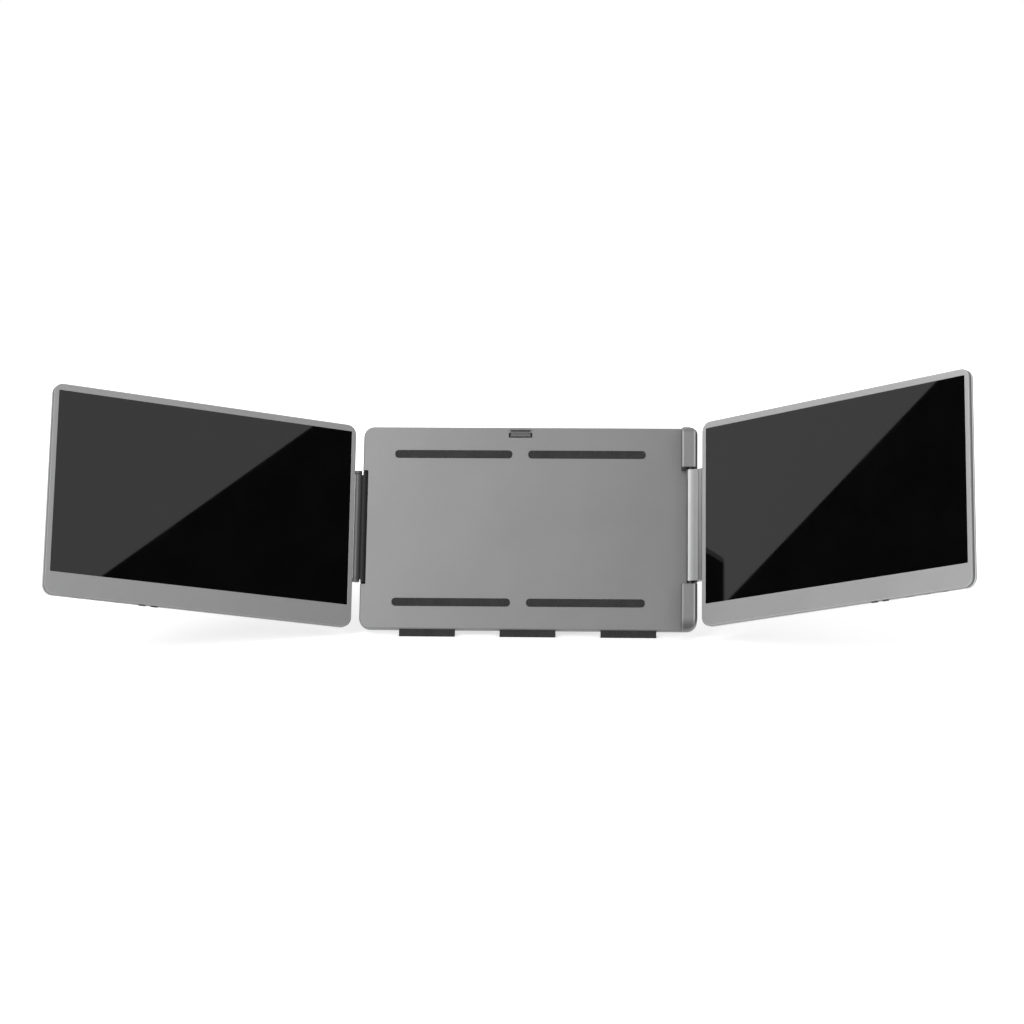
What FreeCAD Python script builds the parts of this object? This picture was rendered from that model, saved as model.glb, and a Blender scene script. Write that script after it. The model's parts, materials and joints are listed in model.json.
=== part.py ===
import FreeCAD, Part
import math
import os
import re

import Sketcher
from FreeCAD import Placement, Rotation, Vector

# Laptop screen extender: a leaning centre bracket that stands behind a laptop's lid,
# with one portable display hinged on each side, a kickstand and a spring-loaded lid clamp.
# Lengths are in millimetres and angles in degrees.
#
# Bracket frame: x runs right from the bracket's centre line, y up its slope from its
# lower edge, z out of its front face. A display's frame has its origin on its hinge axis,
# y up along the axis and z out of the glass. The stand's frame sits on the stand's hinge.

DIMENSIONS = {
    "lean_angle": 25,
    "bracket_width": 376,
    "bracket_height": 232,
    "bracket_corner": 12,
    "front_depth": 6,
    "rear_depth": 6,
    "front_skin": 2.5,
    "rear_skin": 2.2,
    "rim_wall": 2.6,
    "front_edge_bevel": 1.3,
    "rear_edge_bevel": 2.4,
    "fit_gap": 0.3,
    "running_gap": 0.05,
    "seat_gap": 0.2,
    "contact_gap": 0.02,
    "overrun": 1,
    "foot_clearance": 3,
    "foot_length": 62,
    "foot_spread": 112,
    "foot_inset": 1,
    "panel_width": 357,
    "panel_height": 232,
    "panel_depth": 9,
    "panel_corner": 11,
    "panel_wall": 1.8,
    "bezel_depth": 5.5,
    "bezel_lip": 1.6,
    "bezel_edge_bevel": 0.9,
    "cover_skin": 1.6,
    "cover_edge_bevel": 1.6,
    "side_border": 5.7,
    "top_border": 7.6,
    "chin_height": 25.1,
    "glass_corner": 1.2,
    "glass_recess": 0.3,
    "glass_depth": 1.0,
    "glass_gap": 0.15,
    "gasket_width": 3,
    "gasket_depth": 0.3,
    "module_overlap": 1.6,
    "module_depth": 2.8,
    "left_angle": 30.0,
    "left_axis_out": 4.5,
    "left_axis_height": 2.0,
    "left_axis_drop": 1.0,
    "left_barrel_radius": 3.9,
    "left_pin_radius": 1.6,
    "hinge_low": 52.5,
    "knuckle_length": 3.2,
    "knuckle_space": 0.5,
    "knuckle_wall": 1,
    "notch_depth": 6,
    "notch_margin": 2,
    "flange_depth": 4,
    "leaf_depth": 1.8,
    "leaf_reach": 16,
    "leaf_gap": 0.6,
    "leaf_overlap": 0.4,
    "right_angle": 40.3,
    "right_axis_inset": 7,
    "right_axis_height": 12.5,
    "right_axis_drop": 1.5,
    "arm_length": 16,
    "arm_barrel_radius": 5.5,
    "arm_flat_start": 11,
    "arm_shift": 0.5,
    "arm_panel_gap": 0.1,
    "right_pin_radius": 3,
    "tower_width": 18,
    "tower_height": 18,
    "upper_tower_length": 49.4,
    "lower_tower_length": 50,
    "tower_crown": 13,
    "tower_edge_bevel": 2.2,
    "shaft_seat": 30,
    "washer_radius": 4.6,
    "screw_radius": 1.5,
    "screw_head_radius": 2.6,
    "screw_head_depth": 1.2,
    "screw_head_gap": 0.1,
    "screw_inset": 14,
    "screw_edge": 34,
    "boss_radius": 3.6,
    "rib_offset": 18,
    "pad_proud": 0.6,
    "pad_sink": 0.6,
    "pad_length": 132,
    "pad_height": 9,
    "pad_low": 26,
    "pad_high": 196,
    "pad_round": 4,
    "pad_gap": 9,
    "pad_fit": 0.1,
    "clamp_offset": 11,
    "clamp_width": 26,
    "clamp_travel": 30,
    "clamp_bar": 3,
    "clamp_hold": 30,
    "clamp_neck_depth": 2.4,
    "clamp_neck_rise": 1,
    "hook_length": 6.2,
    "hook_depth": 2.4,
    "hook_lip": 2.4,
    "hook_lip_depth": 1.4,
    "hook_pin_radius": 0.6,
    "ear_depth": 1.6,
    "ear_drop": 2,
    "hook_pad_inset": 2,
    "hook_pad_depth": 0.6,
    "groove_depth": 0.5,
    "groove_pitch": 3.0,
    "groove_width": 0.7,
    "groove_start": 1,
    "rail_width": 3.4,
    "rail_lip": 1.4,
    "rail_lip_depth": 1.5,
    "rail_below": 4,
    "rail_above": 12,
    "spring_radius": 2.6,
    "spring_width": 5.5,
    "spring_offset": 7,
    "stand_angle": 48,
    "stand_axis_up": 150,
    "stand_axis_out": 3.5,
    "stand_width": 128,
    "stand_depth": 3,
    "stand_barrel_radius": 3,
    "stand_pin_radius": 1.5,
    "stand_corner": 12,
    "stand_shoulder": 4,
    "stand_throat": 2,
    "stand_knuckle": 20,
    "stand_window_margin": 24,
    "stand_window_low": 34,
    "stand_window_high": 26,
    "stand_window_corner": 8,
    "stand_foot_depth": 1.7,
    "stand_foot_height": 9,
    "block_length": 14,
    "block_splay": 3,
    "board_depth": 1.2,
    "board_lift": 0.4,
    "board_width": 150,
    "board_height": 15,
    "board_inset": 14,
    "board_gap": 0.8,
    "rest_inset": 8,
    "rest_drop": 3,
    "rest_radius": 2,
    "port_width": 9.2,
    "port_height": 3.2,
    "port_length": 7.5,
    "port_wall": 0.4,
    "port_recess": 0.4,
    "port_pitch": 22,
    "port_start": 38,
    "wide_port_width": 11.4,
    "button_width": 8,
    "button_height": 2.4,
    "button_travel": 0.8,
    "button_flush": 0.1,
    "button_flange": 1.2,
    "button_flange_depth": 1,
    "button_flange_rise": 0.6,
    "button_lift": 0.4,
    "button_gap": 0.15,
    "button_pitch": 14,
    "button_start": 112,
    "ribbon_width": 32,
    "ribbon_length": 9,
    "cover_screw_inset": 9,
    "cover_screw_drop": 12,
}

# Sizes that follow from the ones above
DERIVED = {
    "hinge_high": "=bracket_height - hinge_low",
    "clamp_neck_low": "=bracket_height - clamp_travel - clamp_hold",
}

doc = FreeCAD.newDocument("ScreenExtender")
sheet = doc.addObject("Spreadsheet::Sheet", "Sizes")
for row, (alias, content) in enumerate({**DIMENSIONS, **DERIVED}.items(), start=1):
    sheet.set(f"A{row}", alias)
    sheet.set(f"B{row}", str(content))
    sheet.setAlias(f"B{row}", alias)
doc.recompute()

NAMES = re.compile(r"\b(" + "|".join({**DIMENSIONS, **DERIVED}) + r")\b")
PIECES = []


def bound(formula):
    """The formula with each size read from the sheet."""
    return NAMES.sub(r"Sizes.\1", str(formula))


def amount(formula):
    """The formula's present value."""
    value = sheet.evalExpression(bound(formula))
    return float(getattr(value, "Value", value))


# Frames of the assembly

LIFT = "((front_depth + rear_depth) * sin(lean_angle * 1deg) + foot_clearance)"
LEFT_AXIS_X = "(-(bracket_width / 2 + left_axis_out))"
RIGHT_AXIS_X = "(bracket_width / 2 - right_axis_inset)"
STAND_AXIS_Z = "(-(front_depth + rear_depth + stand_axis_out))"

bracket_frame = Placement(
    Vector(0, 0, amount(LIFT)), Rotation(Vector(1, 0, 0), 90 - amount("lean_angle"))
)
left_frame = bracket_frame * Placement(
    Vector(amount(LEFT_AXIS_X), 0, amount("left_axis_height")),
    Rotation(Vector(0, 1, 0), amount("left_angle")),
)
right_frame = bracket_frame * Placement(
    Vector(amount(RIGHT_AXIS_X), 0, amount("right_axis_height")),
    Rotation(Vector(0, 1, 0), -amount("right_angle")),
)
stand_frame = bracket_frame * Placement(
    Vector(0, amount("stand_axis_up"), amount(STAND_AXIS_Z)),
    Rotation(Vector(1, 0, 0), amount("stand_angle")),
)


# Building blocks: an outline is a list of points, each joined to the next by a line,
# or by an arc where the point carries a radius (positive turns left, negative right)


def box_outline(x_low, x_high, y_low, y_high, corner=None):
    if corner is None:
        return [(x_low, y_low), (x_high, y_low), (x_high, y_high), (x_low, y_high)]
    corners = corner if isinstance(corner, (list, tuple)) else [corner] * 4
    points = []
    sides = (
        (x_low, y_low, 0, 1, 1, 0),
        (x_high, y_low, -1, 0, 0, 1),
        (x_high, y_high, 0, -1, -1, 0),
        (x_low, y_high, 1, 0, 0, -1),
    )
    for (x, y, in_x, in_y, out_x, out_y), radius in zip(sides, corners):
        if radius is None:
            points.append((x, y))
            continue
        points.append((f"{x} + {in_x} * {radius}", f"{y} + {in_y} * {radius}", radius))
        points.append((f"{x} + {out_x} * {radius}", f"{y} + {out_y} * {radius}"))
    return points


def disc_outline(x, y, radius):
    return {"x": x, "y": y, "radius": radius}


def arc_between(start, end, radius):
    """The shorter arc from start to end that turns left for a positive radius."""
    chord = end - start
    middle = start + chord * 0.5
    reach = math.sqrt(max(radius * radius - chord.Length ** 2 / 4, 0))
    across = Vector(-chord.y, chord.x, 0)
    across.normalize()
    centre = middle + across * (reach if radius > 0 else -reach)
    outward = middle - centre
    if outward.Length < 1e-6:
        outward = across * (-1 if radius > 0 else 1)
    outward.normalize()
    return Part.Arc(start, centre + outward * abs(radius), end)


def draw_disc(sketch, disc):
    centre = Vector(amount(disc["x"]), amount(disc["y"]), 0)
    circle = Part.Circle(centre, Vector(0, 0, 1), amount(disc["radius"]))
    index = sketch.addGeometry(circle, False)
    pin_point(sketch, index, 3, disc["x"], disc["y"])
    number = sketch.addConstraint(Sketcher.Constraint("Radius", index, amount(disc["radius"])))
    sketch.setExpression(f"Constraints[{number}]", bound(disc["radius"]))


def pin_point(sketch, index, end, x, y):
    for kind, formula in (("DistanceX", x), ("DistanceY", y)):
        constraint = Sketcher.Constraint(kind, -1, 1, index, end, amount(formula))
        number = sketch.addConstraint(constraint)
        sketch.setExpression(f"Constraints[{number}]", bound(formula))


def draw_outline(sketch, outline):
    if isinstance(outline, dict):
        draw_disc(sketch, outline)
        return
    first = sketch.GeometryCount
    count = len(outline)
    for number, point in enumerate(outline):
        following = outline[(number + 1) % count]
        start = Vector(amount(point[0]), amount(point[1]), 0)
        end = Vector(amount(following[0]), amount(following[1]), 0)
        if len(point) == 2:
            sketch.addGeometry(Part.LineSegment(start, end), False)
            continue
        sketch.addGeometry(arc_between(start, end, amount(point[2])), False)
    starts = []
    for number, point in enumerate(outline):
        # An arc that turns right is stored the other way round, from its end to its start
        turns_right = len(point) == 3 and amount(point[2]) < 0
        starts.append((first + number, 2 if turns_right else 1, 1 if turns_right else 2))
    for number in range(count):
        index, _, end = starts[number]
        next_index, next_start, _ = starts[(number + 1) % count]
        sketch.addConstraint(Sketcher.Constraint("Coincident", index, end, next_index, next_start))
    for (index, start, _), point in zip(starts, outline):
        pin_point(sketch, index, start, point[0], point[1])
        if len(point) == 3:
            size = f"abs({point[2]})"
            number = sketch.addConstraint(Sketcher.Constraint("Radius", index, amount(size)))
            sketch.setExpression(f"Constraints[{number}]", bound(size))


class Piece:
    """One sub-part: a body whose sketches and features read the sheet."""

    def __init__(self, label, frame):
        self.body = doc.addObject("PartDesign::Body", label)
        self.body.Label = label
        self.frame = frame
        self.count = 0
        PIECES.append(self)

    def plane(self, role):
        return next(item for item in self.body.Origin.OriginFeatures if item.Role == role)

    def sketch(self, role, level, outlines):
        self.count += 1
        sketch = self.body.newObject("Sketcher::SketchObject", f"{self.body.Name}_Sketch")
        sketch.AttachmentSupport = [(self.plane(role), "")]
        sketch.MapMode = "FlatFace"
        sketch.setExpression("AttachmentOffset.Base.z", bound(level))
        for outline in outlines:
            draw_outline(sketch, outline)
        return sketch

    def feature(self, kind, sketch, length):
        solid = self.body.newObject(kind, f"{self.body.Name}_{kind.split('::')[1]}")
        solid.Profile = sketch
        solid.setExpression("Length", bound(length))
        solid.Refine = True
        doc.recompute()
        return solid

    def add(self, along, low, high, *outlines):
        """Material between two levels of an axis."""
        role = {"x": "YZ_Plane", "y": "XZ_Plane", "z": "XY_Plane"}[along]
        level = f"-({high})" if along == "y" else low
        sketch = self.sketch(role, level, outlines)
        self.feature("PartDesign::Pad", sketch, f"({high}) - ({low})")
        return self

    def cut(self, along, low, high, *outlines):
        """Removes what lies between two levels of an axis, and proves that it did."""
        before = self.body.Shape.Volume
        role = {"x": "YZ_Plane", "y": "XZ_Plane", "z": "XY_Plane"}[along]
        level = f"-({low})" if along == "y" else high
        sketch = self.sketch(role, level, outlines)
        self.feature("PartDesign::Pocket", sketch, f"({high}) - ({low})")
        if self.body.Shape.Volume > before - 1e-4:
            raise RuntimeError(f"a cut in {self.body.Label} removed nothing")
        return self

    def bevel(self, size, wanted):
        """Bevels the edges that the test picks."""
        base = self.body.Tip
        names = [
            f"Edge{number}"
            for number, edge in enumerate(base.Shape.Edges, start=1)
            if wanted(edge)
        ]
        feature = self.body.newObject("PartDesign::Chamfer", f"{self.body.Name}_Chamfer")
        feature.Base = (base, names)
        feature.setExpression("Size", bound(size))
        doc.recompute()
        return self


def at_level(axis, formula):
    """A test for edges that lie in one plane across an axis."""
    level = amount(formula)

    def test(edge):
        box = edge.BoundBox
        low = getattr(box, axis.upper() + "Min")
        high = getattr(box, axis.upper() + "Max")
        return abs(low - level) < 1e-4 and abs(high - level) < 1e-4

    return test


def on_outline(x_low, x_high, y_low, y_high):
    """A test for edges that touch the sides of a rectangle."""
    sides = [amount(side) for side in (x_low, x_high, y_low, y_high)]

    def test(edge):
        box = edge.BoundBox
        reach = (box.XMin - sides[0], box.XMax - sides[1], box.YMin - sides[2], box.YMax - sides[3])
        return min(abs(item) for item in reach) < 1e-3

    return test


def both(first, second):
    return lambda edge: first(edge) and second(edge)


# Centre bracket

HALF = "(bracket_width / 2)"
BRACKET_BACK = "(-(front_depth + rear_depth))"
CLAMP_LEFT = "(-clamp_offset - clamp_width / 2)"
CLAMP_RIGHT = "(-clamp_offset + clamp_width / 2)"
HOOK_TOP = "(bracket_height - clamp_bar)"
HOOK_LOW = "(bracket_height - clamp_bar - fit_gap - hook_length - hook_depth / 2)"
HOOK_PIN_Y = "(bracket_height - clamp_bar - fit_gap - hook_depth / 2)"
HOOK_PIN_Z = "(-hook_depth / 2)"
HOOK_SWEEP = "sqrt(hook_length ^ 2 + (hook_lip + hook_depth / 2) ^ 2)"
HOOK_WINDOW_LOW = f"({HOOK_PIN_Y} - {HOOK_SWEEP} - fit_gap)"
NOTCH_LOW = "(hinge_low - notch_margin)"
NOTCH_HIGH = "(hinge_high + notch_margin)"
NECK_BACK = "(-(front_depth + rear_depth) + rear_skin + clamp_neck_rise)"
NECK_FRONT = f"({NECK_BACK} + clamp_neck_depth)"

SCREW_SPOTS = [
    (f"(-{HALF} + screw_edge)", "screw_inset"),
    (f"({HALF} - screw_edge)", "screw_inset"),
    (f"(-{HALF} + screw_edge)", "(bracket_height - screw_inset)"),
    (f"({HALF} - screw_edge)", "(bracket_height - screw_inset)"),
]


def boss_outline(x, y):
    return box_outline(
        f"({x} - boss_radius)", f"({x} + boss_radius)", f"({y} - boss_radius)",
        f"({y} + boss_radius)",
    )



def tray(label, frame, low, high, skin_low, skin_high, wall, x_low, x_high, y_high, corner):
    """A shallow shell: an outer slab hollowed between two levels."""
    piece = Piece(label, frame)
    piece.add("z", low, high, box_outline(x_low, x_high, "0 * fit_gap", y_high, corner))
    piece.cut(
        "z",
        skin_low,
        skin_high,
        box_outline(
            f"({x_low} + {wall})",
            f"({x_high} - {wall})",
            wall,
            f"({y_high} - {wall})",
            f"({corner} - {wall})",
        ),
    )
    return piece


def bracket_front():
    piece = tray(
        "bracket_front_plate", bracket_frame, "(-front_depth)", "0 * fit_gap", "(-front_depth)",
        "(-front_skin)", "rim_wall", f"(-{HALF})", HALF, "bracket_height", "bracket_corner",
    )
    piece.bevel(
        "front_edge_bevel",
        both(at_level("z", "0"), on_outline(f"-{HALF}", HALF, "0", "bracket_height")),
    )
    piece.cut(
        "z", "(-front_depth)", "0 * fit_gap",
        box_outline(
            f"(-{HALF} - overrun)", f"(-{HALF} + notch_depth)", NOTCH_LOW, NOTCH_HIGH,
            [None, "(2 * fit_gap)", "(2 * fit_gap)", None],
        ),
    )
    piece.cut(
        "z", "(-front_depth)", "0 * fit_gap",
        box_outline(
            f"({CLAMP_LEFT} - fit_gap)", f"({CLAMP_RIGHT} + fit_gap)",
            HOOK_WINDOW_LOW, "(bracket_height + overrun)",
        ),
    )
    for pad in pad_outlines("(0 * fit_gap)"):
        piece.cut("z", "(-pad_sink)", "0 * fit_gap", pad)
    for x, y in SCREW_SPOTS:
        piece.add("z", "(-front_depth)", "(-front_skin)", boss_outline(x, y))
        piece.cut("z", "(-front_depth)", "(-front_skin)", disc_outline(x, y, "screw_radius"))


def pad_outlines(shrink):
    outlines = []
    for side in (-1, 1):
        for low in ("pad_low", "pad_high"):
            centre = f"({side} * (pad_length / 2 + pad_gap) - clamp_offset)"
            outlines.append(
                box_outline(
                    f"({centre} - pad_length / 2 + {shrink})",
                    f"({centre} + pad_length / 2 - {shrink})",
                    f"({low} + {shrink})",
                    f"({low} + pad_height - {shrink})",
                    f"(pad_round - {shrink})",
                )
            )
    return outlines


def bracket_rear():
    piece = tray(
        "bracket_rear_cover", bracket_frame, BRACKET_BACK, "(-front_depth)",
        f"({BRACKET_BACK} + rear_skin)", "(-front_depth)", "rim_wall", f"(-{HALF})", HALF,
        "bracket_height", "bracket_corner",
    )
    piece.bevel(
        "rear_edge_bevel",
        both(at_level("z", BRACKET_BACK), on_outline(f"-{HALF}", HALF, "0", "bracket_height")),
    )
    piece.cut(
        "z", f"({NECK_BACK} - fit_gap)", "(-front_depth)",
        box_outline(
            f"({CLAMP_LEFT} - fit_gap)", f"({CLAMP_RIGHT} + fit_gap)",
            "(bracket_height - rim_wall - overrun)", "(bracket_height + overrun)",
        ),
    )
    for side in (-1, 1):
        x = f"({side} * bracket_width / 5 + rib_offset)"
        piece.add(
            "z", f"({BRACKET_BACK} + rear_skin)", "(-front_depth - 2 * fit_gap)",
            box_outline(
                f"({x} - rim_wall / 2)", f"({x} + rim_wall / 2)", "rim_wall",
                "(bracket_height - rim_wall)",
            ),
        )
    for x, y in SCREW_SPOTS:
        piece.add(
            "z", f"({BRACKET_BACK} + rear_skin)", "(-front_depth)", boss_outline(x, y),
        )
        piece.cut("z", BRACKET_BACK, "(-front_depth)", disc_outline(x, y, "screw_radius"))
        piece.cut(
            "z", BRACKET_BACK, f"({BRACKET_BACK} + screw_head_depth)",
            disc_outline(x, y, "screw_head_radius"),
        )


def screw_group(label, frame, spots, head_low, length):
    """Pan screws driven from behind: the head sits at head_low and the shank points to +z."""
    piece = Piece(label, frame)
    heads = [disc_outline(x, y, "(screw_head_radius - screw_head_gap)") for x, y in spots]
    shanks = [disc_outline(x, y, "(screw_radius - contact_gap)") for x, y in spots]
    piece.add("z", head_low, f"({head_low} + screw_head_depth)", *heads)
    top = f"({head_low} + screw_head_depth)"
    piece.add("z", top, f"({top} + {length})", *shanks)
    return piece


def lid_pads():
    piece = Piece("lid_pads", bracket_frame)
    piece.add("z", "(-pad_sink)", "pad_proud", *pad_outlines("pad_fit"))


def table_feet():
    """Rubber wedges that give the leaning lower edge a level sole."""
    piece = Piece("table_feet", bracket_frame)
    back = "(-(front_depth + rear_depth) + foot_inset + rear_edge_bevel)"
    front = "(-foot_inset)"

    def sole(level):
        return f"(-({LIFT} + ({level}) * sin(lean_angle * 1deg)) / cos(lean_angle * 1deg))"

    outline = [
        ("0 * fit_gap", front),
        ("0 * fit_gap", back),
        (sole(back), back),
        (sole(front), front),
    ]
    for side in (-1, 0, 1):
        centre = f"({side} * foot_spread)"
        piece.add("x", f"({centre} - foot_length / 2)", f"({centre} + foot_length / 2)", outline)


# Left display hinge: a dark flanged barrel on the bracket between two knuckles of a leaf

BARREL_LOW = "(hinge_low + knuckle_length + knuckle_space)"
BARREL_HIGH = "(hinge_high - knuckle_length - knuckle_space)"


def left_hinge_bracket():
    piece = Piece("left_hinge_bracket", bracket_frame)
    x, z = LEFT_AXIS_X, "left_axis_height"
    flange_right = f"(-{HALF} + notch_depth - fit_gap)"
    web = [
        (f"({x} - left_barrel_radius)", z, "left_barrel_radius"),
        (f"({x})", f"({z} - left_barrel_radius)"),
        (f"({x})", "(-flange_depth)"),
        (flange_right, "(-flange_depth)"),
        (flange_right, "0 * fit_gap"),
        (f"({x} + sqrt(left_barrel_radius ^ 2 - {z} ^ 2))", "0 * fit_gap",
         "left_barrel_radius"),
        (f"({x})", f"({z} + left_barrel_radius)", "left_barrel_radius"),
    ]
    piece.add("y", BARREL_LOW, BARREL_HIGH, web)
    piece.add(
        "y", "hinge_low", "hinge_high",
        box_outline(f"(-{HALF} + fit_gap)", flange_right, "(-flange_depth)", "0 * fit_gap"),
    )
    tongue_top = "(-front_skin - seat_gap)"
    piece.add(
        "y", "(hinge_low + flange_depth)", "(hinge_high - flange_depth)",
        box_outline(
            f"(-{HALF} + fit_gap)", f"(-{HALF} + notch_depth + leaf_reach)",
            f"({tongue_top} - leaf_depth)", tongue_top,
        ),
    )
    piece.cut("y", BARREL_LOW, BARREL_HIGH, disc_outline(x, z, "left_pin_radius"))


def left_hinge_shaft():
    piece = Piece("left_hinge_shaft", bracket_frame)
    piece.add(
        "y", "(hinge_low + fit_gap)", "(hinge_high - fit_gap)",
        disc_outline(LEFT_AXIS_X, "left_axis_height", "left_pin_radius"),
    )


def ring_group(label, frame, x, z, outer, inner, spans):
    piece = Piece(label, frame)
    for low, high in spans:
        piece.add("y", low, high, disc_outline(x, z, outer), disc_outline(x, z, inner))
    return piece


def left_hinge_leaf():
    piece = Piece("left_hinge_leaf", left_frame)
    floor = "(left_axis_drop - panel_depth + cover_skin)"
    knuckle = [
        ("(-left_barrel_radius)", "0 * fit_gap", "left_barrel_radius"),
        ("0 * fit_gap", "(-left_barrel_radius)", "left_barrel_radius"),
        ("left_barrel_radius", "0 * fit_gap", "left_barrel_radius"),
        ("0 * fit_gap", "left_barrel_radius", "left_barrel_radius"),
    ]
    shank = box_outline(
        "(-left_axis_out + fit_gap)", "(-left_pin_radius - knuckle_wall)", floor, "0 * fit_gap"
    )
    root = box_outline(
        "(-left_axis_out - leaf_gap - leaf_overlap)", "(-left_pin_radius - knuckle_wall)",
        floor, f"({floor} + leaf_depth)",
    )
    for low in ("hinge_low", "(hinge_high - knuckle_length)"):
        high = f"({low} + knuckle_length)"
        piece.add("y", low, high, knuckle)
        piece.add("y", low, high, shank)
        piece.add("y", low, high, root)
    piece.add(
        "y", "hinge_low", "hinge_high",
        box_outline(
            "(-left_axis_out - leaf_reach)", "(-left_axis_out - leaf_gap)", floor,
            f"({floor} + leaf_depth)",
        ),
    )
    bore = disc_outline("0 * fit_gap", "0 * fit_gap", "(left_pin_radius + running_gap)")
    piece.cut("y", "hinge_low", "hinge_high", bore)


# Right display hinge: two towers carry a steel shaft, and the arm turns between them


def tower(label, low, high, outer_end):
    """A tall rounded block whose outer end curves down to the bracket's edge."""
    piece = Piece(label, bracket_frame)
    x_low = f"({HALF} - tower_width)"
    corner = "bracket_corner"
    corners = [None, corner, None, None] if outer_end == "low" else [None, None, corner, None]
    piece.add("z", "0 * fit_gap", "tower_height", box_outline(x_low, HALF, low, high, corners))
    end, step = (low, 1) if outer_end == "low" else (high, -1)
    start = f"({end} + {step} * tower_crown)"
    crown = [
        (start, "tower_height", f"({step} * tower_crown)"),
        (end, "(tower_height - tower_crown)"),
        (f"({end} - {step} * overrun)", "(tower_height - tower_crown)"),
        (f"({end} - {step} * overrun)", "(tower_height + overrun)"),
        (start, "(tower_height + overrun)"),
    ]
    piece.cut("x", f"({x_low} - overrun)", f"({HALF} + overrun)", crown)
    top = amount("tower_height")
    piece.bevel(
        "tower_edge_bevel",
        lambda edge: edge.BoundBox.ZMax > top - 1e-3 and edge.BoundBox.ZMin > 1 and (
            edge.BoundBox.XLength < 1e-3
        ),
    )
    inner = high if outer_end == "low" else low
    seat = f"({inner} - {step} * shaft_seat)"
    span = sorted((inner, seat), key=amount)
    piece.cut(
        "y", span[0], span[1],
        disc_outline(RIGHT_AXIS_X, "right_axis_height", "right_pin_radius"),
    )


UPPER_LOW = "(bracket_height - upper_tower_length)"


def right_hinge_shaft():
    piece = Piece("right_hinge_shaft", bracket_frame)
    piece.add(
        "y", "(lower_tower_length - shaft_seat)", f"({UPPER_LOW} + shaft_seat)",
        disc_outline(RIGHT_AXIS_X, "right_axis_height", "right_pin_radius"),
    )


def right_hinge_arm():
    piece = Piece("right_hinge_arm", right_frame)
    floor = "(right_axis_drop - panel_depth + cover_skin)"
    profile = [
        ("0 * fit_gap", "arm_barrel_radius", "arm_barrel_radius"),
        ("(-arm_barrel_radius)", "0 * fit_gap", "arm_barrel_radius"),
        ("0 * fit_gap", "(-arm_barrel_radius)"),
        ("arm_flat_start", floor),
        ("(arm_length + leaf_reach)", floor),
        ("(arm_length + leaf_reach)", f"({floor} + leaf_depth)"),
        ("(arm_length - arm_panel_gap)", f"({floor} + leaf_depth)"),
        ("(arm_length - arm_panel_gap)", "right_axis_drop"),
        ("arm_flat_start", "right_axis_drop"),
    ]
    low = "(hinge_low + arm_shift)"
    high = "(hinge_high + arm_shift)"
    piece.add("y", low, high, profile)
    bore = disc_outline("0 * fit_gap", "0 * fit_gap", "(right_pin_radius + running_gap)")
    piece.cut("y", low, high, bore)


# Lid clamp: a sprung slide in the top edge that carries a fold-out hook


def lid_clamp():
    piece = Piece("lid_clamp", bracket_frame)
    piece.add(
        "z", NECK_BACK, NECK_FRONT,
        box_outline(CLAMP_LEFT, CLAMP_RIGHT, "clamp_neck_low", "bracket_height"),
    )
    piece.add(
        "z", NECK_BACK, "0 * fit_gap",
        box_outline(CLAMP_LEFT, CLAMP_RIGHT, HOOK_TOP, "bracket_height"),
    )
    for x_low in (CLAMP_LEFT, f"({CLAMP_RIGHT} - ear_depth)"):
        piece.add(
            "z", NECK_BACK, "0 * fit_gap",
            box_outline(x_low, f"({x_low} + ear_depth)", f"({HOOK_PIN_Y} - ear_drop)", HOOK_TOP),
        )
    piece.cut(
        "x", CLAMP_LEFT, CLAMP_RIGHT, disc_outline(HOOK_PIN_Y, HOOK_PIN_Z, "hook_pin_radius")
    )
    piece.bevel(
        "front_edge_bevel",
        lambda edge: abs(edge.BoundBox.ZMin) < 1e-4 and abs(
            edge.BoundBox.YMin - amount("bracket_height")) < 1e-4,
    )


def clamp_hook():
    """The folded hook shows two grip grooves; its lip hides behind its lower end."""
    piece = Piece("clamp_hook", bracket_frame)
    x_low = f"({CLAMP_LEFT} + ear_depth + fit_gap)"
    x_high = f"({CLAMP_RIGHT} - ear_depth - fit_gap)"
    half = "(hook_depth / 2)"
    lip_top = f"({HOOK_LOW} + hook_lip_depth)"
    profile = [
        (HOOK_PIN_Y, f"({HOOK_PIN_Z} - {half})", half),
        (f"({HOOK_PIN_Y} + {half})", HOOK_PIN_Z, half),
        (HOOK_PIN_Y, f"({HOOK_PIN_Z} + {half})"),
        (HOOK_LOW, "0 * fit_gap"),
        (HOOK_LOW, "(-hook_depth - hook_lip)"),
        (lip_top, "(-hook_depth - hook_lip)"),
        (lip_top, "(-hook_depth)"),
    ]
    piece.add("x", x_low, x_high, profile)
    for step in (1, 2):
        y = f"({HOOK_LOW} + hook_lip_depth + {step} * groove_pitch - groove_start)"
        piece.cut(
            "z", "(-groove_depth)", "0 * fit_gap",
            box_outline(x_low, x_high, f"({y} - groove_width)", y),
        )
    piece.cut(
        "x", x_low, x_high,
        disc_outline(HOOK_PIN_Y, HOOK_PIN_Z, "(hook_pin_radius + running_gap)"),
    )


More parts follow.
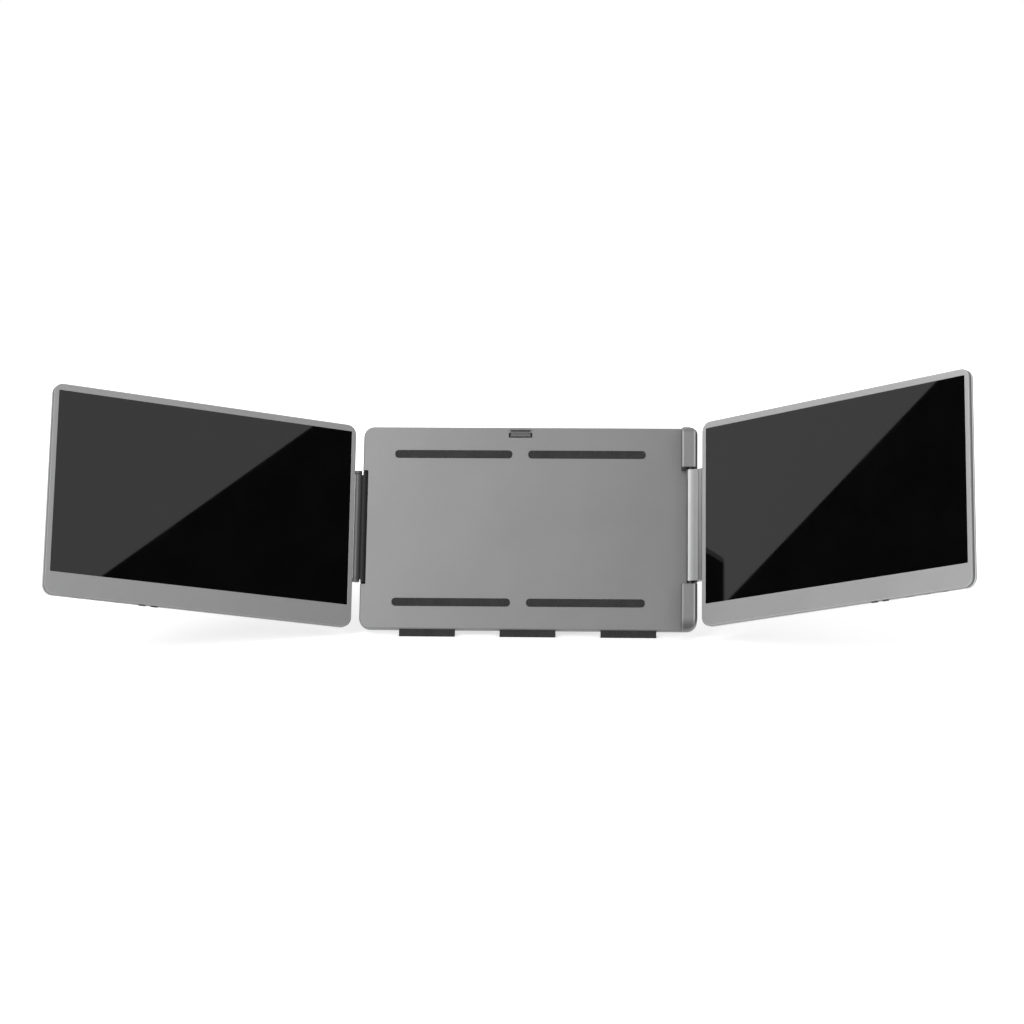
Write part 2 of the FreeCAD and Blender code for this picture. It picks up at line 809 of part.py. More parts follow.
def clamp_small_parts():
    pin = Piece("clamp_hook_pin", bracket_frame)
    pin.add(
        "x", CLAMP_LEFT, CLAMP_RIGHT, disc_outline(HOOK_PIN_Y, HOOK_PIN_Z, "hook_pin_radius")
    )
    pad = Piece("clamp_hook_pad", bracket_frame)
    pad.add(
        "z", "(-hook_depth - hook_lip)", "(-hook_depth)",
        box_outline(
            f"({CLAMP_LEFT} + ear_depth + hook_pad_inset)",
            f"({CLAMP_RIGHT} - ear_depth - hook_pad_inset)",
            f"({HOOK_LOW} + hook_lip_depth)", f"({HOOK_LOW} + hook_lip_depth + hook_pad_depth)",
        ),
    )
    rails = Piece("clamp_rails", bracket_frame)
    floor = f"({BRACKET_BACK} + rear_skin)"
    for side, edge in ((-1, CLAMP_LEFT), (1, CLAMP_RIGHT)):
        near = f"({edge} + {side} * fit_gap)"
        far = f"({edge} + {side} * rail_width)"
        lip = f"({edge} - {side} * rail_lip)"
        ordered = sorted((near, far), key=amount)
        rails.add(
            "z", floor, f"({NECK_FRONT} + rail_lip_depth)",
            box_outline(ordered[0], ordered[1], "(clamp_neck_low - rail_below)",
                "(bracket_height - rail_above)"),
        )
        ordered = sorted((lip, far), key=amount)
        rails.add(
            "z", f"({NECK_FRONT} + fit_gap)", f"({NECK_FRONT} + rail_lip_depth)",
            box_outline(ordered[0], ordered[1], "(clamp_neck_low - rail_below)",
                "(bracket_height - rail_above)"),
        )
    springs = Piece("clamp_springs", bracket_frame)
    for side in (-1, 1):
        x = f"(-clamp_offset + {side} * spring_offset)"
        y = "(clamp_neck_low - spring_radius - fit_gap)"
        springs.add(
            "x", f"({x} - spring_width / 2)", f"({x} + spring_width / 2)",
            disc_outline(y, f"({floor} + spring_radius)", "spring_radius"),
        )


# Kickstand

STAND_LENGTH = (
    f"(({LIFT} + stand_axis_up * cos(lean_angle * 1deg) + {STAND_AXIS_Z}"
    " * sin(lean_angle * 1deg)) / cos((stand_angle - lean_angle) * 1deg))"
)


def kickstand_plate():
    piece = Piece("kickstand_plate", stand_frame)
    low = f"(-{STAND_LENGTH} + stand_foot_height)"
    top = "(-stand_barrel_radius - stand_throat)"
    half = "(stand_width / 2)"
    thick = "(stand_depth / 2)"
    piece.add(
        "z", f"(-{thick})", thick,
        box_outline(
            f"(-{half})", half, low, top,
            ["stand_corner", "stand_corner", "stand_shoulder", "stand_shoulder"],
        ),
    )
    piece.cut(
        "z", f"(-{thick})", thick,
        box_outline(
            f"(-{half} + stand_window_margin)", f"({half} - stand_window_margin)",
            f"({low} + stand_window_low)", f"({top} - stand_window_high)",
            "stand_window_corner",
        ),
    )
    for side in (-1, 1):
        centre = f"({side} * (stand_width / 2 - stand_knuckle / 2))"
        x_low = f"({centre} - stand_knuckle / 2)"
        x_high = f"({centre} + stand_knuckle / 2)"
        ear = box_outline(x_low, x_high, f"({top} - overrun)", "0 * fit_gap")
        barrel = disc_outline("0 * fit_gap", "0 * fit_gap", "stand_barrel_radius")
        piece.add("z", f"(-{thick})", thick, ear)
        piece.add("x", x_low, x_high, barrel)
        piece.cut(
            "x", x_low, x_high,
            disc_outline("0 * fit_gap", "0 * fit_gap", "(stand_pin_radius + running_gap)"),
        )


def kickstand_feet():
    """A rubber sleeve along the stand's lower edge, cut level with the table."""
    piece = Piece("kickstand_foot", stand_frame)
    half = "(stand_width / 2 - stand_corner)"
    slope = "tan((stand_angle - lean_angle) * 1deg)"
    outer = "(stand_depth / 2 + stand_foot_depth)"
    tip = f"(-{STAND_LENGTH})"
    profile = [
        (f"(-{STAND_LENGTH} + stand_foot_height)", f"(-{outer})"),
        (f"({tip} - {outer} * {slope})", f"(-{outer})"),
        (f"({tip} + {outer} * {slope})", outer),
        (f"(-{STAND_LENGTH} + stand_foot_height)", outer),
    ]
    piece.add("x", f"(-{half})", half, profile)


def stand_hinge():
    blocks = Piece("stand_hinge_blocks", bracket_frame)
    back = BRACKET_BACK
    y, z = "stand_axis_up", STAND_AXIS_Z
    profile = [
        (f"({y} - stand_barrel_radius - block_splay)", back),
        (f"({y} - stand_barrel_radius)", z, "stand_barrel_radius"),
        (y, f"({z} - stand_barrel_radius)", "stand_barrel_radius"),
        (f"({y} + stand_barrel_radius)", z),
        (f"({y} + stand_barrel_radius + block_splay)", back),
    ]
    pins = Piece("stand_pins", bracket_frame)
    inner = "(stand_width / 2 - stand_knuckle - fit_gap)"
    for side in (-1, 1):
        far = f"({side} * ({inner} - block_length))"
        near = f"({side} * {inner})"
        x_low, x_high = sorted((far, near), key=amount)
        blocks.add("x", x_low, x_high, profile)
        blocks.cut("x", x_low, x_high, disc_outline(y, z, "stand_pin_radius"))
        tip = f"({side} * (stand_width / 2))"
        x_low, x_high = sorted((far, tip), key=amount)
        pins.add("x", x_low, x_high, disc_outline(y, z, "stand_pin_radius"))


# Displays


class Side:
    """Sizes that differ between the two displays."""

    def __init__(self, name, sign, frame, reach, drop):
        self.name = name
        self.sign = sign
        self.frame = frame
        self.reach = reach
        self.front = drop
        self.back = f"({drop} - panel_depth)"
        self.seam = f"({drop} - bezel_depth)"

    def across(self, distance):
        """A place measured from the hinge-side edge towards the outer edge."""
        return f"({self.sign} * ({self.reach} + {distance}))"

    def span(self, near, far):
        return sorted((self.across(near), self.across(far)), key=amount)

    def from_outer(self, near, far):
        return self.span(f"panel_width - ({near})", f"panel_width - ({far})")


def opening(side, grow):
    x_low, x_high = side.span(f"side_border - ({grow})", f"panel_width - side_border + ({grow})")
    return x_low, x_high, f"(chin_height - ({grow}))", f"(panel_height - top_border + ({grow}))"


def leaf_slot(side):
    x_low, x_high = side.span("(-overrun)", "(panel_wall + overrun)")
    low = "(hinge_low - fit_gap)"
    high = "(hinge_high + arm_shift + fit_gap)"
    return box_outline(x_low, x_high, low, high)


def port_spans(side):
    """The three sockets, counted from the outer end of the lower wall."""
    spans = []
    for number, width in enumerate(("port_width", "port_width", "wide_port_width")):
        centre = f"(port_start + {number} * port_pitch)"
        spans.append((centre, width))
    return spans


def button_centres():
    return [("power", "button_start"), ("menu", "(button_start + button_pitch)")]


PORT_LIFT = "(cover_skin + board_lift + board_depth)"


def wall_cuts(piece, side):
    """Openings in the lower wall for sockets and buttons."""
    for centre, width in port_spans(side):
        x_low, x_high = side.from_outer(
            f"{centre} - {width} / 2 - seat_gap", f"{centre} + {width} / 2 + seat_gap"
        )
        piece.cut(
            "y", "(-overrun)", "(panel_wall + overrun)",
            box_outline(
                x_low, x_high, f"({side.back} + {PORT_LIFT} - seat_gap)",
                f"({side.back} + {PORT_LIFT} + port_height + seat_gap)",
            ),
        )
    for _, centre in button_centres():
        x_low, x_high = side.from_outer(
            f"{centre} - button_width / 2 - button_gap",
            f"{centre} + button_width / 2 + button_gap",
        )
        piece.cut(
            "y", "(-overrun)", "(panel_wall + overrun)",
            box_outline(
                x_low, x_high, f"({side.back} + {PORT_LIFT} + button_lift - button_gap)",
                f"({side.back} + {PORT_LIFT} + button_lift + button_height + button_gap)",
            ),
        )


def bezel(side):
    x_low, x_high = side.span("0", "panel_width")
    piece = tray(
        f"{side.name}_bezel", side.frame, side.seam, side.front, side.seam,
        f"({side.front} - bezel_lip)", "panel_wall", x_low, x_high, "panel_height", "panel_corner",
    )
    piece.bevel(
        "bezel_edge_bevel",
        both(at_level("z", side.front), on_outline(x_low, x_high, "0", "panel_height")),
    )
    left, right, low, high = opening(side, "0")
    piece.cut(
        "z", f"({side.front} - bezel_lip)", side.front,
        box_outline(left, right, low, high, "glass_corner"),
    )
    wall_cuts(piece, side)
    return piece


def panel_screw_spots(side):
    """Three screws along the chin: the middle one stands clear of the board."""
    places = (
        "cover_screw_inset",
        "panel_width - board_inset - board_width - cover_screw_inset",
        "panel_width - cover_screw_inset",
    )
    return [(side.across(place), "(chin_height - cover_screw_drop)") for place in places]


def back_cover(side):
    x_low, x_high = side.span("0", "panel_width")
    piece = tray(
        f"{side.name}_back_cover", side.frame, side.back, side.seam,
        f"({side.back} + cover_skin)", side.seam, "panel_wall", x_low, x_high, "panel_height",
        "panel_corner",
    )
    piece.bevel(
        "cover_edge_bevel",
        both(at_level("z", side.back), on_outline(x_low, x_high, "0", "panel_height")),
    )
    piece.cut("z", f"({side.back} + cover_skin)", side.seam, leaf_slot(side))
    wall_cuts(piece, side)
    for x, y in panel_screw_spots(side):
        piece.cut("z", side.back, f"({side.back} + cover_skin)", disc_outline(x, y, "screw_radius"))
        piece.cut(
            "z", side.back, f"({side.back} + screw_head_depth)",
            disc_outline(x, y, "screw_head_radius"),
        )
    return piece


def display_stack(side):
    gap = "glass_gap"
    left, right, low, high = opening(side, f"-{gap}")
    top = f"({side.front} - glass_recess)"
    bottom = f"({top} - glass_depth)"
    glass = Piece(f"{side.name}_screen_glass", side.frame)
    glass.add("z", bottom, top, box_outline(left, right, low, high, f"(glass_corner - {gap})"))

    gasket = Piece(f"{side.name}_screen_gasket", side.frame)
    inner = opening(side, "-gasket_width")
    gasket.add(
        "z", f"({bottom} - gasket_depth)", bottom,
        box_outline(left, right, low, high, f"(glass_corner - {gap})"),
        box_outline(*inner, "glass_corner"),
    )
    module = Piece(f"{side.name}_display_module", side.frame)
    module_top = f"({bottom} - gasket_depth)"
    module.add(
        "z", f"({module_top} - module_depth)", module_top,
        box_outline(*opening(side, "module_overlap")),
    )


def electronics(side):
    floor = f"({side.back} + cover_skin)"
    board = Piece(f"{side.name}_driver_board", side.frame)
    x_low, x_high = side.from_outer("board_width + board_inset", "board_inset")
    low = "(panel_wall + board_gap)"
    board_top = f"({floor} + board_lift + board_depth)"
    board.add(
        "z", f"({floor} + board_lift)", board_top,
        box_outline(x_low, x_high, low, f"({low} + board_height)"),
    )
    left, right = side.from_outer(
        "board_inset + board_width - rest_inset", "board_inset + rest_inset"
    )
    for x in (left, right):
        rest = disc_outline(x, f"({low} + board_height - rest_drop)", "rest_radius")
        board.add("z", floor, f"({floor} + board_lift)", rest)

    ports = Piece(f"{side.name}_port_sockets", side.frame)
    base = f"({side.back} + {PORT_LIFT})"
    for centre, width in port_spans(side):
        x_low, x_high = side.from_outer(f"{centre} - {width} / 2", f"{centre} + {width} / 2")
        top = f"({base} + port_height)"
        ports.add(
            "y", "port_recess", "(port_length + port_recess)",
            box_outline(x_low, x_high, base, top, "(port_height / 3)"),
        )
        ports.cut(
            "y", "port_recess", "port_length",
            box_outline(
                f"({x_low} + port_wall)", f"({x_high} - port_wall)", f"({base} + port_wall)",
                f"({top} - port_wall)", "(port_height / 3 - port_wall)",
            ),
        )

    ribbon = Piece(f"{side.name}_display_ribbon", side.frame)
    module_bottom = (
        f"({side.front} - glass_recess - glass_depth - gasket_depth - module_depth)"
    )
    x_low, x_high = side.from_outer("board_width / 2 + ribbon_width", "board_width / 2")
    edge = "(chin_height - module_overlap)"
    ribbon.add(
        "z", f"({floor} + fit_gap)", f"({module_bottom} - contact_gap)",
        box_outline(
            x_low, x_high, f"({low} + board_height + fit_gap)", f"({edge} + ribbon_length)"
        ),
    )


def buttons(side):
    base = f"({side.back} + {PORT_LIFT} + button_lift)"
    for name, centre in button_centres():
        piece = Piece(f"{side.name}_{name}_button", side.frame)
        x_low, x_high = side.from_outer(
            f"{centre} - button_width / 2", f"{centre} + button_width / 2"
        )
        piece.add(
            "y", "(-button_travel - button_flush)", "(panel_wall + fit_gap)",
            box_outline(x_low, x_high, base, f"({base} + button_height)", "(button_height / 3)"),
        )
        left = f"({x_low} - button_flange)"
        right = f"({x_high} + button_flange)"
        piece.add(
            "y", "(panel_wall + button_gap)", "(panel_wall + button_gap + button_flange_depth)",
            box_outline(left, right, base, f"({base} + button_height + button_flange_rise)"),
        )


def display(side):
    bezel(side)
    back_cover(side)
    display_stack(side)
    electronics(side)
    buttons(side)
    screw_group(
        f"{side.name}_cover_screws", side.frame, panel_screw_spots(side), side.back,
        "(panel_depth - bezel_lip - screw_head_depth - seat_gap)",
    )


LEFT = Side("left", -1, left_frame, "left_axis_out", "left_axis_drop")
RIGHT = Side("right", 1, right_frame, "arm_length", "right_axis_drop")


def build():
    bracket_front()
    bracket_rear()
    screw_group("bracket_screws", bracket_frame, SCREW_SPOTS, BRACKET_BACK,
                "(front_depth + rear_depth - front_skin - screw_head_depth - fit_gap)")
    lid_pads()
    table_feet()
    left_hinge_bracket()
    left_hinge_shaft()
    ring_group(
        "left_torque_washers", bracket_frame, LEFT_AXIS_X, "left_axis_height",
        "(left_barrel_radius - fit_gap)", "left_pin_radius",
        [
            (f"({BARREL_LOW} - knuckle_space + seat_gap)", BARREL_LOW),
            (BARREL_HIGH, f"({BARREL_HIGH} + knuckle_space - seat_gap)"),
        ],
    )
    left_hinge_leaf()
    tower("lower_hinge_tower", "0", "lower_tower_length", "low")
    tower("upper_hinge_tower", UPPER_LOW, "bracket_height", "high")
    right_hinge_shaft()
    ring_group(
        "right_torque_washers", bracket_frame, RIGHT_AXIS_X, "right_axis_height",
        "washer_radius", "right_pin_radius",
        [
            ("lower_tower_length", "(hinge_low + arm_shift - seat_gap)"),
            ("(hinge_high + arm_shift + seat_gap)", UPPER_LOW),
        ],
    )
    right_hinge_arm()
    lid_clamp()
    clamp_hook()
    clamp_small_parts()
    kickstand_plate()
    kickstand_feet()
    stand_hinge()
    display(LEFT)
    display(RIGHT)


def check_and_write():
    for piece in PIECES:
        piece.body.Placement = piece.frame
    doc.recompute()
    for item in doc.Objects:
        if any(word in item.State for word in ("Invalid", "Error")):
            raise RuntimeError(f"{item.Label} failed: {item.State}")
    os.makedirs("parts", exist_ok=True)
    for piece in PIECES:
        shape = piece.body.Shape
        if shape.isNull() or not shape.isValid() or not shape.Solids:
            raise RuntimeError(f"{piece.body.Label} has no valid solid")
        shape.exportStep(os.path.join("parts", f"{piece.body.Label}.step"))
        print(piece.body.Label, len(shape.Solids), round(shape.Volume / 1000, 2))


build()
check_and_write()
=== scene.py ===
import json
import math

import bmesh
import bpy
from mathutils import Matrix, Vector


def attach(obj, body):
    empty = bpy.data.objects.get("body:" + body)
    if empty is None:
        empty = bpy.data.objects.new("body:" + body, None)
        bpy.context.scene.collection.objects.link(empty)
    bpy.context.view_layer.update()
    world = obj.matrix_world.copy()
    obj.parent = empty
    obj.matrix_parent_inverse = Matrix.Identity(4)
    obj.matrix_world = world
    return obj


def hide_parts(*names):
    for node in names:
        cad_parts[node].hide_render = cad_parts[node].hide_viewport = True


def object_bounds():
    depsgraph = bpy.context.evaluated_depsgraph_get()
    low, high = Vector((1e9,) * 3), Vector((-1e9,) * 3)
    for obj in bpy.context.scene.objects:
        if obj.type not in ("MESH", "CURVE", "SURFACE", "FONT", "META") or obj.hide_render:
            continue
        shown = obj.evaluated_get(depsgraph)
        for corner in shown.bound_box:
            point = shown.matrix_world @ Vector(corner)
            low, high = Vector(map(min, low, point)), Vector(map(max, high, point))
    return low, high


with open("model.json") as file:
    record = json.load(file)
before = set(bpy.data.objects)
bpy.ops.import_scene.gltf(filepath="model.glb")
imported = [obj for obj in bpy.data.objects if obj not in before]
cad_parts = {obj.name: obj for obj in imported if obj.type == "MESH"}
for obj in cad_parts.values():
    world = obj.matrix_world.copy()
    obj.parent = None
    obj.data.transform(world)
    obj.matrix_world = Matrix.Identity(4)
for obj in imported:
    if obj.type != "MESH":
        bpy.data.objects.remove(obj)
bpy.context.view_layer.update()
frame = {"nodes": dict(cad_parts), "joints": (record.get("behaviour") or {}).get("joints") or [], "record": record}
nodes = frame["nodes"]
scene = bpy.context.scene
MM = 0.001

# Places that the frame gives: the bracket leans back, so its own axes are worked out
joints = {joint["name"]: joint for joint in frame["joints"]}
up = Vector(joints["left_screen_swing"]["axis"]).normalized()
right = Vector((1, 0, 0))
out = right.cross(up)

# Camera, fitted to the corners of both screens and to the bracket's edges
FOCAL_PIXELS = 2964.0
IMAGE_PIXELS = 1024
SENSOR_MM = 36.0
CAMERA_PLACE = Vector((0.1355, -3.1897, 0.8154))
CAMERA_FORWARD = Vector((-0.0466, 0.9773, -0.2065))
CAMERA_UP = Vector((-0.0057, 0.2065, 0.9784))
CLIP_START = 0.05
CLIP_END = 60

# Painted light and shade: brightness painted along an axis. Each stop names the edge it starts
# from, the millimetres on from that edge, and the factor
# Bracket plate: painted light, brighter at its left end and darker at its right
PLATE_PAINTED_LIGHT_STOPS = (("low", 0, 1.16), ("high", 0, 0.97))
BARREL_SPAN = 30
# Left hinge barrel: a painted highlight along its left edge, then painted shade deepening to the right
BARREL_PAINTED_LIGHT_AND_SHADE_STOPS = (
    ("low", 0, 2.6),
    ("low", 2.4, 2.4),
    ("low", 3.4, 1.15),
    ("low", 5.5, 1.0),
    ("low", 8.5, 0.62),
    ("low", 11, 0.25),
    ("low", 12.5, 0.10),
)
# Right hinge arm: a painted highlight on its rounded edge, painted shade across its middle, a painted highlight on
# its flat leaf
ARM_PAINTED_LIGHT_STOPS = (
    ("low", 0, 1.1),
    ("low", 3, 0.80),
    ("low", 6, 0.48),
    ("low", 9.4, 0.36),
    ("low", 13, 0.40),
    ("low", 13.8, 1.25),
    ("low", 18, 1.2),
)
RIM_MARGIN = 1
# Display rim: painted shade at the back edge, a painted highlight on the side wall, a painted shadow at the seam
RIM_PAINTED_LIGHT_STOPS = (
    ("back", 0.05, 1.0),
    ("back", 0.2, 0.12),
    ("seam", -2.0, 0.15),
    ("seam", -1.0, 1.75),
    ("seam", 0.6, 1.75),
    ("seam", 1.5, 0.25),
    ("front", -1.2, 0.25),
    ("front", -0.5, 1.0),
)
# Hinge towers across their width: painted shade at each side, painted highlights along the long edges
TOWER_SIDE_PAINTED_LIGHT_STOPS = (
    ("low", 0.5, 0.30),
    ("low", 0.9, 1.9),
    ("low", 2.0, 1.9),
    ("low", 2.8, 1.0),
    ("high", -4.4, 1.0),
    ("high", -3.8, 1.8),
    ("high", -2.9, 1.8),
    ("high", -2.3, 0.34),
)
# Hinge tower ends: painted shade towards both ends of each tower
TOWER_END_PAINTED_SHADE_STOPS = {
    "upper_hinge_tower": (
        ("low", 0.2, 0.30),
        ("low", 0.8, 1.0),
        ("high", -9, 1.0),
        ("high", -3, 0.50),
    ),
    "lower_hinge_tower": (
        ("low", 3, 0.45),
        ("low", 11, 1.0),
        ("high", -0.8, 1.0),
        ("high", -0.3, 0.6),
    ),
}

# A painted highlight lies along edges where the rounded normal leaves the flat one by this cosine
EDGE_FULL = 0.90
EDGE_NONE = 0.995
EDGE_SAMPLES = 6

# Screw heads, in millimetres; the plain screw's own box gives the rest
SCREW_SIDES = 24
SOCKET_CORNERS = 6
SOCKET_RADIUS = 1.25
SOCKET_FLOOR = 0.85
SOCKET_MOUTH = 0.05
HEAD_BEVEL = 0.35
HEAD_HEIGHT = 1.2
SHANK_SHARE = 0.59
WELD_DISTANCE = 0.001

# Contact tongue and the block behind it, in millimetres from the socket's own box
TONGUE_MARGIN = 1.3
TONGUE_HALF = 0.35
TONGUE_FRONT = 1.0
TONGUE_BACK = 0.5
BLOCK_MARGIN = 0.45
BLOCK_FRONT = 2.2
BLOCK_BACK = 0.6

# Studio, in metres and watts; the floor's glow grows to full between near and far
FLOOR_TONE = 0.9
FLOOR_GLOW = 0.45
FLOOR_NEAR = 0.45
FLOOR_FAR = 1.1
FLOOR_HALF = 9.0
FLOOR_GAP = 0.0002
WORLD_STRENGTH = 0.42
LAMPS = (
    ("key", (-1.6, -1.9, 2.0), 1.6, 42.0),
    ("fill", (1.9, -1.6, 1.4), 1.4, 14.0),
    ("back", (0.3, 2.2, 1.8), 1.6, 20.0),
)
FLAG_TONE = 0.004
FLAG_DISTANCE = 1.1
FLAG_OVERLAP = 0.08
FLAG_WIDTH = 0.6

# The glass's front corners win over the back ones by this share of its depth
FRONT_WEIGHT = 0.2


def make_camera():
    data = bpy.data.cameras.new("camera")
    data.sensor_width = SENSOR_MM
    data.lens = FOCAL_PIXELS * SENSOR_MM / IMAGE_PIXELS
    data.clip_start = CLIP_START
    data.clip_end = CLIP_END
    camera = bpy.data.objects.new("camera", data)
    scene.collection.objects.link(camera)
    z_axis = -CAMERA_FORWARD.normalized()
    x_axis = CAMERA_UP.cross(z_axis).normalized()
    y_axis = z_axis.cross(x_axis)
    turn = Matrix((x_axis, y_axis, z_axis)).transposed()
    camera.matrix_world = Matrix.Translation(CAMERA_PLACE) @ turn.to_4x4()
    scene.camera = camera


# Places on the frame


def reach(name, axis):
    """The low and high edge of a CAD node along an axis, in millimetres."""
    places = [vertex.co.dot(axis) / MM for vertex in nodes[name].data.vertices]
    return {"low": min(places), "high": max(places)}


def glass_corners(side):
    """The glass's front corners, in the order low left, low right, high right, high left."""
    points = [vertex.co.copy() for vertex in nodes[f"{side}_screen_glass"].data.vertices]
    centre = sum(points, Vector()) / len(points)
    flat = centre - Vector(joints[f"{side}_screen_swing"]["pos_m"])
    flat -= up * flat.dot(up)
    across = flat.normalized()
    if side == "left":
        across = -across
    found = []
    for sign_across, sign_up in ((-1, -1), (1, -1), (1, 1), (-1, 1)):
        best = max(
            points,
            key=lambda point: sign_across * (point - centre).dot(across)
            + sign_up * (point - centre).dot(up)
            + FRONT_WEIGHT * (point - centre).dot(across.cross(up)),
        )
        found.append(best)
    return found


def display_axes(side):
    """The display's own directions at rest: along its width, and out of its glass."""
    low_left, low_right, _, _ = glass_corners(side)
    across = low_right - low_left
    across = (across - up * across.dot(up)).normalized()
    return across, across.cross(up)


# Materials


def scaled(tone, factor, lift=0.0):
    """A tone made darker or brighter, never above white."""
    return [min(value * factor + lift, 1) for value in tone]


class Shader:
    """A material under construction, with short calls for its nodes."""

    def __init__(self, name):
        self.material = bpy.data.materials.new(name)
        self.material.use_nodes = True
        self.tree = self.material.node_tree
        self.main = self.tree.nodes["Principled BSDF"]

    def set(self, **values):
        for name, value in values.items():
            self.main.inputs[name.replace("_", " ")].default_value = value

    def feed(self, **sources):
        for name, source in sources.items():
            self.link(source, self.main.inputs[name.replace("_", " ")])

    def node(self, kind, **values):
        made = self.tree.nodes.new(kind)
        for name, value in values.items():
            setattr(made, name, value)
        return made

    def link(self, source, target):
        self.tree.links.new(source, target)

    def coordinates(self, stretch=(1, 1, 1)):
        """Object coordinates turned into the leaning bracket's axes, in millimetres."""
        place = self.node("ShaderNodeTexCoord")
        mapping = self.node("ShaderNodeMapping")
        lean = math.atan2(up.y, up.z)
        mapping.inputs["Rotation"].default_value = (lean, 0, 0)
        mapping.inputs["Scale"].default_value = [item / MM for item in stretch]
        self.link(place.outputs["Object"], mapping.inputs["Vector"])
        return mapping.outputs["Vector"]

    def along(self, axis):
        """How far the surface lies along an axis of the rest pose, in millimetres."""
        place = self.node("ShaderNodeTexCoord")
        dot = self.node("ShaderNodeVectorMath", operation="DOT_PRODUCT")
        dot.inputs[1].default_value = [item / MM for item in axis]
        self.link(place.outputs["Object"], dot.inputs[0])
        return dot.outputs["Value"]

    def shade(self, color, axis, low, high, stops):
        """The color times a ramp of painted light and shade, whose places lie between low and high, in
        millimetres.
        """
        made = self.node("ShaderNodeMapRange")
        made.inputs["From Min"].default_value = low
        made.inputs["From Max"].default_value = high
        self.link(self.along(axis), made.inputs["Value"])
        peak = max(value for _, value in stops)
        shares = [((place - low) / (high - low), value / peak) for place, value in stops]
        levels = self.ramp(made.outputs["Result"], shares)
        levels = self.mix(1.0, levels, [peak, peak, peak], "MULTIPLY")
        return self.mix(1.0, color, levels, "MULTIPLY")

    def noise(self, vector, scale, detail=3.0, roughness=0.55):
        made = self.node("ShaderNodeTexNoise")
        made.inputs["Scale"].default_value = scale
        made.inputs["Detail"].default_value = detail
        made.inputs["Roughness"].default_value = roughness
        self.link(vector, made.inputs["Vector"])
        return made.outputs["Fac"]

    def ramp(self, source, stops):
        """A color ramp; a stop made at its own place keeps the order of the others."""
        made = self.node("ShaderNodeValToRGB")
        elements = made.color_ramp.elements

        def paint(element, value):
            color = value if isinstance(value, (list, tuple)) else (value, value, value)
            element.color = (*color, 1)

        elements[0].position = stops[0][0]
        elements[1].position = stops[-1][0]
        paint(elements[0], stops[0][1])
        paint(elements[1], stops[-1][1])
        for place, value in stops[1:-1]:
            paint(elements.new(place), value)
        self.link(source, made.inputs["Fac"])
        return made.outputs["Color"]

    def blend(self, source, low, high, start=0.3, end=0.7):
        """From one tone to another over the middle of a noise's values."""
        return self.ramp(source, [(start, low), (end, high)])

    def range(self, source, low, high):
        made = self.node("ShaderNodeMapRange")
        made.inputs["To Min"].default_value = low
        made.inputs["To Max"].default_value = high
        self.link(source, made.inputs["Value"])
        return made.outputs["Result"]

    def mix(self, factor, first, second, blend="MIX"):
        made = self.node("ShaderNodeMix", data_type="RGBA", blend_type=blend)
        if isinstance(factor, float):
            made.inputs["Factor"].default_value = factor
        else:
            self.link(factor, made.inputs["Factor"])
        for socket, value in (("A", first), ("B", second)):
            target = next(
                item for item in made.inputs if item.name == socket and item.type == "RGBA"
            )
            if isinstance(value, (list, tuple)):
                target.default_value = (*value, 1)
            else:
                self.link(value, target)
        return next(item for item in made.outputs if item.type == "RGBA")

    def bump(self, height, distance, strength, normal):
        made = self.node("ShaderNodeBump")
        made.inputs["Strength"].default_value = strength
        made.inputs["Distance"].default_value = distance * MM
        self.link(height, made.inputs["Height"])
        self.link(normal, made.inputs["Normal"])
        return made.outputs["Normal"]

    def edge_highlight_mask(self, radius):
        """One near sharp edges, where a painted highlight goes, and nought elsewhere, and the rounded normal
        itself.
        """
        bevel = self.node("ShaderNodeBevel", samples=EDGE_SAMPLES)
        bevel.inputs["Radius"].default_value = radius * MM
        geometry = self.node("ShaderNodeNewGeometry")
        dot = self.node("ShaderNodeVectorMath", operation="DOT_PRODUCT")
        self.link(bevel.outputs["Normal"], dot.inputs[0])
        self.link(geometry.outputs["True Normal"], dot.inputs[1])
        highlight_mask = self.blend(dot.outputs["Value"], 1.0, 0.0, EDGE_FULL, EDGE_NONE)
        return highlight_mask, bevel.outputs["Normal"]


def satin_paint(
    name, tone, roughness=0.40, metallic=0.35, edge=1.25, specular=0.5, shades=()
):
    """Satin metallic paint: fine sparkle, cloudy tone, softly rounded edges with a painted highlight."""
    shader = Shader(name)
    place = shader.coordinates()
    cloud = shader.noise(place, scale=0.012, detail=2.0)
    grains = shader.noise(place, scale=2.4, detail=2.0, roughness=0.7)
    color = shader.blend(cloud, scaled(tone, 0.965), scaled(tone, 1.035))
    speckle = shader.blend(grains, low=0.84, high=1.0, start=0.35, end=0.65)
    color = shader.mix(1.0, color, speckle, "MULTIPLY")
    highlight_mask, rounded = shader.edge_highlight_mask(radius=0.5)
    # Painted highlight along the edges
    color = shader.mix(highlight_mask, color, scaled(tone, edge))
    for item in shades:
        color = shader.shade(color, *item)
    shader.set(Metallic=metallic, Specular_IOR_Level=specular)
    shader.feed(
        Base_Color=color,
        Roughness=shader.range(grains, roughness - 0.05, roughness + 0.07),
        Normal=shader.bump(grains, distance=0.012, strength=0.6, normal=rounded),
    )
    return shader.material


def brushed_metal(name, tone, roughness, stretch=(3.0, 0.05, 3.0), streak=0.22, shades=()):
    """Drawn aluminium or steel with long fine streaks."""
    shader = Shader(name)
    lines = shader.noise(shader.coordinates(stretch), scale=1.4, detail=5.0, roughness=0.65)
    cloud = shader.noise(shader.coordinates(), scale=0.03, detail=2.0)
    color = shader.blend(lines, scaled(tone, 1 - streak), tone)
    color = shader.mix(1.0, color, shader.blend(cloud, low=0.92, high=1.0), "MULTIPLY")
    for item in shades:
        color = shader.shade(color, *item)
    _, rounded = shader.edge_highlight_mask(radius=0.4)
    shader.set(Metallic=0.9)
    shader.feed(
        Base_Color=color,
        Roughness=shader.range(lines, roughness - 0.06, roughness + 0.1),
        Normal=shader.bump(lines, distance=0.01, strength=0.5, normal=rounded),
    )
    return shader.material


